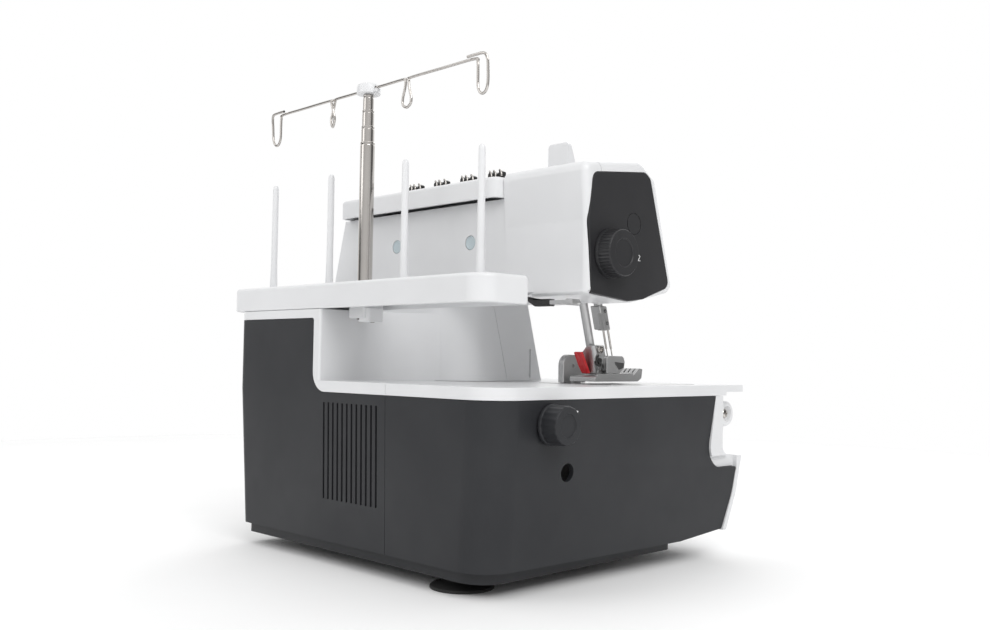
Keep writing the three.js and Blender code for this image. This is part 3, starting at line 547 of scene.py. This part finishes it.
def numeral_two(y, z, size):
    """The strokes of a 2, read from the left end."""
    return [((y + size * 0.3, z + size * 0.35), (y, z + size * 0.5)),
            ((y, z + size * 0.5), (y - size * 0.3, z + size * 0.3)),
            ((y - size * 0.3, z + size * 0.3), (y + size * 0.3, z - size * 0.5)),
            ((y + size * 0.3, z - size * 0.5), (y - size * 0.35, z - size * 0.5))]


strokes("pressure_dial_number", "machine", numeral_two(-159.5, 241.3, 4.2), 3.72)
strokes("stitch_dial_mark", "stitch_dial", [((-64.5, 124.6), (-66.2, 126.6))], -15.3, width=0.9, thick=0.6)
for i, seat in enumerate(DIAL_SEATS):
    grip = carve(ribbed((-0.5, 0, 0), 13, 12.7, 11.5, 30, 8.5), joined=[stem(-1, 9, 0, 0, 3.6)])
    piece(onto_front(grip, seat), f"tension_dial_{i + 1}_grip", f"tension_dial_{i + 1}", GRAPHITE,
          "graphite_plastic", [f"tension_dial_{i + 1}"], edge=0.12, angle=40)
    pointer = onto_front(prism("x", [(7.6, -0.4), (10.3, -0.4), (10.3, 0.4), (7.6, 0.4)], -9, -8.8), seat)
    piece(pointer, f"tension_dial_{i + 1}_mark", f"tension_dial_{i + 1}", PAINT, "white_plastic", edge=0)

# ---------------------------------------------------------------- thread guide: pole, hub and wire
bores, bottoms = (5.45, 4.95, 4.5, 3.4), (191.3, 215, 216, 217)
for i, (radius, top) in enumerate(((5.85, 333), (5.2, 346), (4.75, 359), (4.3, 371))):
    tube = turned([(radius, bottoms[i]), (radius, top - 3.2), (radius - 0.25, top - 2.8),
                   (radius - 0.25, top - 2.2), (radius, top - 1.8), (radius, top - 0.6),
                   (radius - 0.4, top)], (POLE_X, POLE_Y, 0), sides=48)
    tube = carve(tube, removed=[prism("z", circle(POLE_X, POLE_Y, bores[i], 48), 100, 400)])
    body = "machine" if i == 0 else f"pole_{i + 1}"
    piece(tube, f"pole_tube_{i + 1}", body, CHROME, "chrome", [f"pole_section_{i + 1}"], edge=0.1)

hub = turned([(3, 355), (3, 371.3), (9.1, 371.3), (9.5, 371.8), (9.5, 376.5), (8.9, 378.4), (7.2, 379.5),
              (0.1, 379.6)],
             (POLE_X, POLE_Y, 0), sides=48)
arm_slot = prism("x", circle(POLE_Y, WIRE_Z, 1.5, 20), 150, 190)
flange_plan = path([(158.5, -26.5, 1.2), (163, -26.5), (163, -21.5), (158.5, -21.5, 1.2)])
flange = prism("z", flange_plan, 372.2, 374.2)
hub = carve(hub, joined=[flange], removed=[arm_slot])
piece(hub, "guide_hub_cap", "thread_guide", WHITE, "white_plastic", ["guide_hub"], edge=0.25)


def wire(name, body, points, radius, material, nodes=(), resolution=10):
    """A round wire through points of the design, on a smooth curve."""
    curve = bpy.data.curves.new(name, "CURVE")
    curve.dimensions, curve.bevel_depth, curve.bevel_resolution = "3D", radius * MM, 4
    curve.use_fill_caps = True
    spline = curve.splines.new("POLY")
    route = []
    for i in range(len(points) - 1):
        p0, p1, p2, p3 = (Vector(points[max(0, min(len(points) - 1, i + k))]) for k in (-1, 0, 1, 2))
        for step in range(resolution):
            t = step / resolution
            route.append(0.5 * ((2 * p1) + (p2 - p0) * t + (2 * p0 - 5 * p1 + 4 * p2 - p3) * t * t
                                + (3 * p1 - p0 - 3 * p2 + p3) * t * t * t))
    route.append(Vector(points[-1]))
    spline.points.add(len(route) - 1)
    for point, where in zip(spline.points, route):
        point.co = (*spot(*where), 1)
    made = bpy.data.objects.new(name, curve)
    bpy.context.scene.collection.objects.link(made)
    mesh = bpy.data.meshes.new_from_object(made.evaluated_get(bpy.context.evaluated_depsgraph_get()))
    bpy.data.objects.remove(made)
    solid_wire = bpy.data.objects.new(name, mesh)
    bpy.context.scene.collection.objects.link(solid_wire)
    mesh.shade_smooth()
    mesh.materials.clear()
    mesh.materials.append(material)
    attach(solid_wire, body)
    if nodes:
        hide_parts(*nodes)
    return solid_wire


def guide_route():
    """The thread guide's wire: a hook at each end, a tear-shaped loop and a twisted loop."""
    def at(x, y, drop):
        return (POLE_X + x, POLE_Y + y, WIRE_Z - drop)

    def end(s):
        return [at(s * x, y, drop) for x, y, drop in (
            (118, 2.6, -1.6), (127, 2.6, -1.6), (135, 2.4, -1), (137.5, 1.6, 3), (137.6, 1, 10),
            (137.2, 0.6, 20), (135, 0.2, 25), (131.8, 0, 26.6), (128.6, 0, 25), (126.6, 0, 20),
            (126.4, 0, 10), (126, 0, 3), (123, 0, 0.2))]

    tear = [at(*p) for p in ((-52, 0, 0), (-50, 0, 1.5), (-50.5, 0, 7), (-53, 0, 15), (-52.4, 0, 20),
                             (-48, 0, 22.4), (-43.6, 0, 20), (-43, 0, 15), (-45.5, 0, 7), (-46, 0, 1.5),
                             (-44, 0, 0))]
    twist = [at(*p) for p in ((44, 0, 0), (46.6, -1, 1.4), (49, -1.6, 6), (50.6, -1.6, 10),
                              (51.6, -0.8, 17), (48, 0, 22.6), (44.4, 0.8, 17), (45.4, 1.6, 10),
                              (47, 1.6, 6), (49.4, 1, 1.4), (52, 0, 0))]
    return [*end(-1), at(-90, 0, 0), *tear, at(-20, 0, 0), at(20, 0, 0), *twist, at(90, 0, 0),
            *end(1)[::-1]]


wire("guide_wire_bent", "thread_guide", guide_route(), 1.1, CHROME, ["guide_wire"], resolution=6)

# ---------------------------------------------------------------- thread clips: dark base, steel tongues
for i in range(4):
    x, y, z = FIRST_THREAD_X + i * PITCH, -106, CLIP_Z
    plate = path([(x - 8.6, z), (x + 8.6, z), (x + 8.6, z + 6.2, 1.5), (x + 6, z + 8.2, 1),
                  (x + 3.4, z + 5.4, 1), (x + 0.8, z + 7.4, 1), (x - 2.4, z + 5, 1), (x - 5.4, z + 8, 1),
                  (x - 8.6, z + 6.4, 1)], steps=4)
    base = carve(prism("y", plate, y - 2.2, y + 1.4),
                 joined=[prism("z", path([(x - 9, y - 5, 1.5), (x + 9, y - 5, 1.5), (x + 9, y + 5, 1.5),
                                          (x - 9, y + 5, 1.5)]), z, z + 2)])
    piece(base, f"clip_base_{i + 1}", "machine", BLACK, "black_plastic", [f"thread_clip_{i + 1}"], edge=0.3)
    for k, (dx, reach) in enumerate(((-6, 5.6), (0.6, 6.4), (5.4, 5.6))):
        tongue = [(x + dx - 3, y + 3.2, z + 2.6), (x + dx - 2.4, y + 3, z + 6), (x + dx, y + 2.4, z + 8.3),
                  (x + dx + 2, y + 0.6, z + 7.6), (x + dx + 2.2, y - 2.4, z + 5),
                  (x + dx + 0.5, y - reach + 1.2, z + 2.8)]
        wire(f"clip_{i + 1}_tongue_{k + 1}", "machine", tongue, 0.62, CHROME)
    rivet = turned([(1.7, 0), (1.7, 0.8), (1.2, 1.3), (0.1, 1.4)], (x + 0.2, y - 2.6, z + 2.0), sides=20)
    piece(rivet, f"clip_{i + 1}_rivet", "machine", CHROME, "steel", edge=0)


# ---------------------------------------------------------------- presser foot and needles
def leaning(corners, z0, z1, at=PRESSER_AXIS, rim=0.0):
    """A bar that leans back with the machine's front, from a section (x, y from its axis)."""
    points = path(corners) if isinstance(corners[0], tuple) else corners
    levels = [(z0, rim), (z0 + rim, 0), (z1 - rim, 0), (z1, rim)] if rim else [(z0, 0), (z1, 0)]
    rings = []
    for z, back in levels:
        shift = Vector((0, at[0] + LEAN * (z - at[1])))
        rings.append((z, [p + shift for p in inset(points, back)]))
    return loft(rings)


sole = prism("x", [(-152, 145.2), (-152, 149.5, 2), (-190, 150.5), (-201, 150.5, 3), (-208, 155.9, 1),
                   (-212.4, 155.4, 1), (-211, 147.8, 2), (-206, 145.2, 3)], 39, 66)
fins = [box(x, x + 1.5, -220, -203.5, 151.6, 160) for x in (42.2, 46.6, 51, 55.4, 59.8)]
rail = prism("x", [(-154, 149), (-154, 151.2, 1), (-200, 151.8, 1), (-200, 149)], 39, 40.8)
sole = carve(sole, joined=[rail], removed=[box(45, 59, -196, -181, 140, 160), *fins])
hinge_block = carve(prism("x", [(-176, 148), (-163, 148), (-163, 154, 3), (-170, 158, 3), (-176, 154, 2)],
                          45.5, 59.5),
                    kept=[box(40, 60, -180, -160, 140, 160)])
ankle = leaning([(44, -9, 2.5), (60, -9, 2.5), (60, 6, 3), (44, 6, 3)], 151, 174.4, rim=0.8)
chamfer = prism("y", [(49.5, 174.6), (61, 164.6), (70, 164.6), (70, 185), (49.5, 185)], -190, -140)
groove = prism("x", [(-150, 150), (-166.5, 150), (-163, 157, 5), (-159, 161.5, 3), (-150, 161.5)], 40, 46.2)
ankle = carve(ankle, removed=[chamfer, groove, leaning(circle(BARS_X, 0, 3.9, 24), 168.2, 180)])
foot = carve(sole, joined=[hinge_block, ankle])
piece(foot, "presser_foot_body", "presser", STEEL, "steel", ["presser_foot"], edge=0.3, angle=35)

side_guard = prism("x", path([(-167.5, 154.5, 1.5), (-167.5, 165.9, 3), (-189, 165.9, 4), (-191, 161, 2),
                              (-190, 156, 2), (-184, 151.6), (-168, 151.6)]), 40.6, 44.2, (0.5, 0.5))
piece(side_guard, "foot_side_guard", "presser", STEEL, "steel", edge=0.15)
wedge = prism("x", path([(-176.5, 161.2, 0.6), (-189.3, 160.2, 0.6), (-188.8, 156.3, 0.6),
                         (-183.2, 154.6, 0.6)]), 40.2, 41.2, (0.25, 0))
piece(wedge, "foot_side_wedge", "presser", DARK_STEEL, "steel", edge=0)
screw = turned([(2.2, -3), (2.2, 0.2), (3.1, 0.3), (3.1, 1.6), (2.7, 2.1), (1.5, 2.1), (1.3, 0.9),
                (0.1, 0.9)],
               (43.9, -162.2, 170.6), "x", sides=40, sense=-1)
piece(screw, "foot_ankle_screw", "presser", CHROME, "steel", edge=0.08)
spring_route = [(43.2, -160.2, 166), (42.6, -158.2, 164.4), (42.3, -156.6, 161.8), (42.4, -157.6, 158.8),
                (42.6, -160.6, 157.8), (42.6, -163.6, 159), (42.5, -165.2, 157), (42.6, -164, 154.2),
                (42.8, -168, 152.9), (42.8, -176, 152.6), (42.9, -184, 151.6)]
wire("foot_spring", "presser", spring_route, 0.85, BLACK, resolution=6)
coil = turned([(2.4, 0), (2.4, 1.2), (1.9, 1.4), (1.9, 2.2), (2.4, 2.4), (2.4, 3.4), (1.2, 3.8),
               (0.1, 3.8)],
              (44.4, -159.8, 161.6), "x", sides=28, sense=-1)
piece(coil, "foot_spring_boss", "presser", BLACK, "black_plastic", edge=0.1)
lever = prism("x", path([(-147.8, 168.4, 0.9), (-150.4, 168.8, 0.9), (-156.2, 158.5, 8),
                         (-160.2, 151.9, 0.6), (-158.4, 151.3, 0.6), (-153.6, 157.6, 8)]), 51, 59,
              (0.6, 0.6))
piece(lever, "foot_release_tab", "release_lever", RED, "red_plastic", ["foot_release_lever"], edge=0.1)

guard = prism("x", path([(-151, 143.6), (-179, 143.6), (-179, 158, 3), (-171, 166.5, 6), (-151, 166.5, 9)]),
              72, 78, (0.8, 0.8))
guard = carve(guard, joined=[box(72, 78, -176, -154, 118, 145)],
              removed=[box(70, 80, -176.2, -172.6, 143.0, 148.4), box(70, 80, -164.4, -160, 143.0, 147.4),
                       prism("x", circle(-163, 157, 1.5, 20), 70, 73),
                       box(76.6, 80, -157, -155.8, 146, 160)])
piece(guard, "upper_knife_guard", "knife", STEEL, "steel", ["upper_knife"], edge=0.25)

rod = leaning(circle(BARS_X, 0, 3.5, 32), 168.5, 294, rim=0.3)
piece(rod, "presser_bar_rod", "presser", STEEL, "steel", ["presser_bar"], edge=0)
needle_rod = leaning(circle(BARS_X, 0, 3.6, 32), 186.4, 290, at=NEEDLE_AXIS)
clamp = leaning([(47.6, -5.6, 1.2), (57.6, -5.6, 1.2), (57.6, 4, 1.2), (47.6, 4, 1.2)], 187, 206,
                at=NEEDLE_AXIS, rim=0.5)
step = leaning([(44, 1), (50.4, 1), (50.4, 8), (44, 8)], 186, 200, at=NEEDLE_AXIS)
needle_rooms = [leaning(circle(BARS_X + dx, -4.2, 1.2, 16), 180, 200, at=NEEDLE_AXIS)
                for dx in NEEDLE_OFFSETS]
clamp = carve(needle_rod, joined=[clamp], removed=[step, *needle_rooms])
piece(clamp, "needle_bar_clamp", "needle_bar", STEEL, "steel", ["needle_bar"], edge=0.25)
for i, z in enumerate((192.2, 202)):
    hexed = turned([(1.5, -1), (1.5, 0.3), (1.1, 0.4), (0.7, -0.2), (0.1, -0.2)],
                   (47.6, NEEDLE_AXIS[0] + LEAN * (z - NEEDLE_AXIS[1]) - 2.2, z), "x", sides=24, sense=-1)
    piece(hexed, f"needle_screw_{i + 1}", "needle_bar", DARK_STEEL, "steel", edge=0)
for i, dx in enumerate(NEEDLE_OFFSETS):
    needle = carve(leaning(circle(BARS_X + dx, -4.2, 0.9, 20), 171.5, 199, at=NEEDLE_AXIS, rim=0.3),
                   joined=[leaning(circle(BARS_X + dx, -4.2, 0.5, 16), 157, 172.5, at=NEEDLE_AXIS,
                                   rim=0.35)])
    piece(needle, f"needle_{i + 1}_blade", "needle_bar", CHROME, "chrome",
          [("needle_left", "needle_right")[i]], edge=0)

# ---------------------------------------------------------------- presser lifter under the head
strip = prism("x", [(-97, 203), (-91.5, 203), (-91.5, 206), (-97, 206)], 12, 48)
strip = carve(strip, joined=[prism("y", circle(17, 204.5, 2.4, 28), -104, -91.5)])
piece(strip, "lifter_strip", "lifter", STEEL, "steel", edge=0.3)
grip = prism("y", path([(34, 201.8, 0.8), (50, 201.8, 4), (60.6, 208, 1), (58.5, 209.8, 0.8),
                        (49, 207.4, 3), (34, 207.2, 0.8)]),
             -97.2, -91.3, (0.9, 0.9))
piece(grip, "lifter_grip", "lifter", BLACK, "black_plastic", ["presser_lifter"], edge=0.1)


# ---------------------------------------------------------------- latch knob, bracket and feet
def cross_screw(name, body, place, radius, axis="x", sense=-1):
    """A pan-head screw with a cross recess."""
    head = turned([(radius * 0.55, -1), (radius * 0.55, 0), (radius, 0.05), (radius, radius * 0.25),
                   (radius * 0.8, radius * 0.48), (radius * 0.4, radius * 0.6), (0.05, radius * 0.62)],
                  place, axis,
                  sides=36, sense=sense)
    x, y, z = place
    arm, half, deep = radius * 0.55, radius * 0.13, radius * 0.3
    if axis == "x":
        x0, x1 = sorted((x + sense * deep, x + sense * radius))
        arms = [box(x0, x1, y - arm, y + arm, z - half, z + half),
                box(x0, x1, y - half, y + half, z - arm, z + arm)]
    else:
        z0, z1 = sorted((z + sense * deep, z + sense * radius))
        arms = [box(x - arm, x + arm, y - half, y + half, z0, z1),
                box(x - half, x + half, y - arm, y + arm, z0, z1)]
    piece(carve(head, removed=arms), name, body, CHROME, "steel", edge=0.06)


knob = turned([(3, -11), (3, 0), (10.3, 0.1), (11.04, 0.9), (11.04, 6.2), (10.1, 7.7), (8.4, 8.3),
               (6.9, 8.3), (6.3, 7.2), (5.9, 5.2), (5.2, 4.6), (0.1, 4.6)], (20.6, KNOB_Y, KNOB_Z), "x",
              sides=64, sense=-1)
piece(knob, "latch_knob_cap", "latch", WHITE, "white_plastic", ["latch_knob"], edge=0.15)
cross_screw("latch_screw", "latch", (16.0, KNOB_Y, KNOB_Z), 4.2)

socket = carve(prism("z", path([(161, -36, 2), (181, -36, 2), (181, -16, 2), (161, -16, 2)]), 192.4, 217.2),
               joined=[prism("z", path([(158, -34, 3), (172, -34, 3), (172, -18, 3), (158, -18, 3)]), 189.4,
                             200, (0.8, 0))],
               removed=[prism("z", circle(POLE_X, POLE_Y, 6.25, 32), 191, 230)])
piece(socket, "pole_bracket_socket", "machine", WHITE, "white_plastic", ["pole_bracket"], edge=0.6,
      angle=38)
cross_screw("bracket_screw", "machine", (162.5, -26, 190.4), 2.6, "z", -1)

for name, (x, y) in SUCTION_FEET.items():
    pad = turned([(10, 9.2), (10, 7.4), (11.2, 5.2), (13.4, 4.2), (19, 3.0), (22.4, 2.1), (23, 1.2),
                  (23, 0.2), (22.8, 0.0), (19.5, 0), (18, 0.6), (12, 2.4), (0.1, 4)][::-1], (x, y, 0),
                 sides=72)
    piece(pad, f"foot_{name}_pad", "machine", RUBBER, "rubber", [f"foot_{name}"], edge=0.15)

# ---------------------------------------------------------------- plugs in the arm's back
for i, (x, z) in enumerate(PLUGS):
    plug = turned([(6.8, -3.5), (6.8, -1.6), (5.7, -1.5), (5.7, -0.4), (5.3, 0), (4.4, 0), (4.1, -0.4),
                   (0.1, -0.5)], (x, PLUG_Y, z), "y", sides=40)
    piece(plug, f"plug_{i + 1}_disc", "machine", BLUE_GREY, "blue_grey_plastic", [f"plug_{i + 1}"],
          edge=0.08)

# ---------------------------------------------------------------- looper cover
ends = [box(x0, x1, -294.5, -240, 70, 84) for x0, x1 in ((-1, 3.9), (311.6, 320))]
shell = carve(prism("x", path(COVER_SECTION), 0, WIDTH),
              removed=[prism("x", path(COVER_HOLLOW), 6.5, 309), *ends])
knuckles = [prism("x", circle(HINGE_Y, HINGE_Z, 4.2, 32), x, x + 12) for x in (60, 246)]
catch = prism("x", [(-271, 110), (-303, 110, 5), (-303, 125, 5), (-271, 125)], 22, 28)
shell = carve(shell, joined=[*knuckles, catch],
              removed=[prism("x", circle(HINGE_Y, HINGE_Z, 1.8, 24), 4, WIDTH - 4),
                       prism("x", circle(KNOB_Y, KNOB_Z, 3.4, 24), 20, 30)])
piece(shell, "looper_cover_shell", "looper_cover", WHITE, "white_plastic", ["looper_cover"], edge=0.6,
      angle=38)


# ---------------------------------------------------------------- CAD pieces that stay as they are
for material, nodes in {
    CHARCOAL: ["base_plate", "handwheel"],
    BLACK: ["power_inlet", "power_switch"],
    RUBBER: ["drive_belt"],
    STEEL: ["needle_plate", "feed_dog", "main_shaft", "motor", "motor_pulley", "lower_looper",
            "upper_looper", "hinge_rod"],
    CAST: ["main_frame"],
}.items():
    for node in nodes:
        keep(node, material)


# ---------------------------------------------------------------- floor, light and camera
def floor():
    """A pale round floor under the machine."""
    bm = bmesh.new()
    bm.faces.new([bm.verts.new((p.x, p.y, 0)) for p in circle(0, 0, 1.3, 128)])
    mesh = bpy.data.meshes.new("floor")
    bm.to_mesh(mesh)
    bm.free()
    made = bpy.data.objects.new("floor", mesh)
    bpy.context.scene.collection.objects.link(made)
    made.data.materials.append(finish("floor paint", grey(0.955), grey(0.965), (0.75, 0.85)))


floor()

def studio():
    """A white room with two grey flags at its sides, which give the bright metal its dark edges."""
    world = bpy.data.worlds.new("studio")
    world.use_nodes = True
    nodes, links = world.node_tree.nodes, world.node_tree.links
    where = nodes.new("ShaderNodeTexCoord")
    side = nodes.new("ShaderNodeVectorMath")
    side.operation = "DOT_PRODUCT"
    side.inputs[1].default_value = (0.709, -0.705, 0.0)
    links.new(where.outputs["Generated"], side.inputs[0])
    tones = nodes.new("ShaderNodeValToRGB")
    stops = [(0.0, 0.80), (0.24, 0.62), (0.36, 0.14), (0.58, 0.12), (0.72, 1.0), (1.0, 1.0)]
    for at, value in stops[1:-1]:
        tones.color_ramp.elements.new(at)
    for element, (at, value) in zip(tones.color_ramp.elements, stops):
        element.position, element.color = at, (value, value, value, 1)
    half = nodes.new("ShaderNodeMath")
    half.operation = "MULTIPLY_ADD"
    half.inputs[1].default_value, half.inputs[2].default_value = 0.5, 0.5
    links.new(side.outputs["Value"], half.inputs[0])
    links.new(half.outputs[0], tones.inputs["Fac"])
    height = nodes.new("ShaderNodeSeparateXYZ")
    links.new(where.outputs["Generated"], height.inputs[0])
    above = nodes.new("ShaderNodeMapRange")
    above.inputs["From Min"].default_value, above.inputs["From Max"].default_value = 0.55, 0.85
    links.new(height.outputs["Z"], above.inputs["Value"])
    ceiling = nodes.new("ShaderNodeMixRGB")
    ceiling.inputs["Color2"].default_value = (1, 1, 1, 1)
    links.new(above.outputs["Result"], ceiling.inputs["Fac"])
    links.new(tones.outputs["Color"], ceiling.inputs["Color1"])
    links.new(ceiling.outputs["Color"], nodes["Background"].inputs["Color"])
    nodes["Background"].inputs["Strength"].default_value = 1.0
    bpy.context.scene.world = world


studio()


def softbox(name, place, aim, size, power):
    """A rectangular area light, its place and size in metres, that faces a point."""
    lamp = bpy.data.lights.new(name, "AREA")
    lamp.shape, lamp.size, lamp.size_y, lamp.energy = "RECTANGLE", size[0], size[1], power
    made = bpy.data.objects.new(name, lamp)
    made.location = place
    made.rotation_euler = (Vector(aim) - Vector(place)).to_track_quat("-Z", "Y").to_euler()
    bpy.context.scene.collection.objects.link(made)
    return made


softbox("key", (-1.5, 0.5, 1.4), (0, 0, 0.15), (1.3, 0.9), 14)
softbox("fill", (0.9, 1.6, 1.1), (0, 0, 0.15), (1.2, 1.2), 8)
softbox("rim", (0.6, -1.5, 1.3), (0, 0, 0.2), (1.2, 0.8), 5)
bpy.context.scene.view_settings.view_transform = "Standard"

sensor = bpy.data.cameras.new("view")
sensor.lens, sensor.sensor_width = 36.27, 36.0
camera = bpy.data.objects.new("view", sensor)
right = Vector((-0.70493, -0.70911, 0.01545))
up = Vector((-0.02081, 0.04246, 0.99888))
ahead = Vector((0.70897, -0.70382, 0.04469))
eye = Matrix.Translation(spot(-462.161, 458.361, 161.376))
camera.matrix_world = eye @ Matrix((right, up, -ahead)).transposed().to_4x4()
bpy.context.scene.collection.objects.link(camera)
bpy.context.scene.camera = camera
